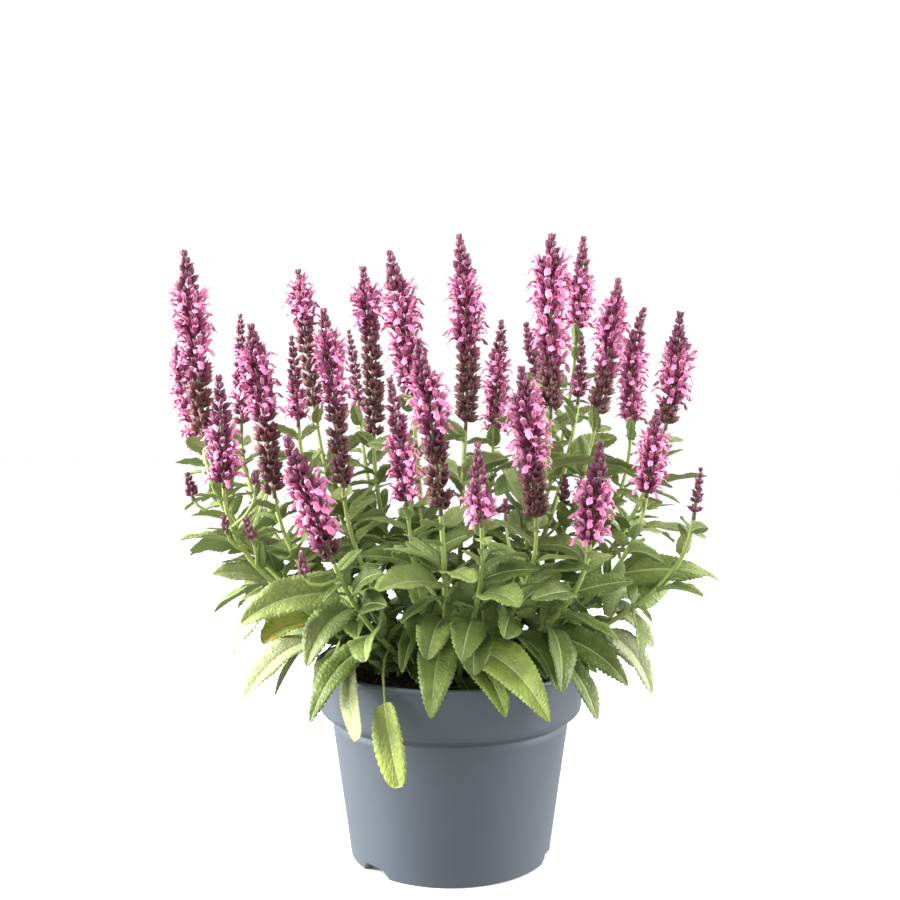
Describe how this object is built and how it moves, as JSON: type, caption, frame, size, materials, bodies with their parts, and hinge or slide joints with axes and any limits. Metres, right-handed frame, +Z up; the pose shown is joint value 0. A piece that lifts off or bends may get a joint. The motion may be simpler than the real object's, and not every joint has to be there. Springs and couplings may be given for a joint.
{
  "type": "potted woodland sage",
  "caption": "Flowering woodland sage in a tapered nursery pot, with leafy stems that end in tall spikes of pink two-lipped flowers.",
  "frame": {"origin": "on the pot's axis, on the surface that the pot stands on", "axes": "+Z up, -Y towards the side that the picture shows, +X to the right seen from there"},
  "size_m": [0.4024, 0.2556, 0.449],
  "materials": {
    "pot": "satin blue-grey moulded plastic",
    "soil": "dark crumbly peat and bark",
    "foliage": "matt green leaf with a quilted surface",
    "flowers": "soft pink petals and dark purple calyces"
  },
  "bodies": {
    "root": {"pot": "pot", "soil": "soil", "stem_01": "foliage", "stem_02": "foliage", "stem_03": "foliage", "stem_04": "foliage", "stem_05": "foliage", "stem_06": "foliage", "stem_07": "foliage", "stem_08": "foliage", "stem_09": "foliage", "stem_10": "foliage", "stem_11": "foliage", "stem_12": "foliage", "stem_13": "foliage", "stem_14": "foliage", "stem_15": "foliage", "stem_16": "foliage", "stem_17": "foliage", "stem_18": "foliage", "stem_19": "foliage", "stem_20": "foliage", "stem_21": "foliage", "stem_22": "foliage", "stem_23": "foliage", "stem_24": "foliage", "stem_25": "foliage", "stem_26": "foliage", "stem_27": "foliage", "stem_28": "foliage", "spike_01": "flowers", "spike_02": "flowers", "spike_03": "flowers", "spike_04": "flowers", "spike_05": "flowers", "spike_06": "flowers", "spike_07": "flowers", "spike_08": "flowers", "spike_09": "flowers", "spike_10": "flowers", "spike_11": "flowers", "spike_12": "flowers", "spike_13": "flowers", "spike_14": "flowers", "spike_15": "flowers", "spike_16": "flowers", "spike_17": "flowers", "spike_18": "flowers", "spike_19": "flowers", "spike_20": "flowers", "spike_21": "flowers", "spike_22": "flowers", "spike_23": "flowers", "spike_24": "flowers", "spike_25": "flowers", "spike_26": "flowers", "spike_27": "flowers", "spike_28": "flowers"}
  },
  "joints": []
}
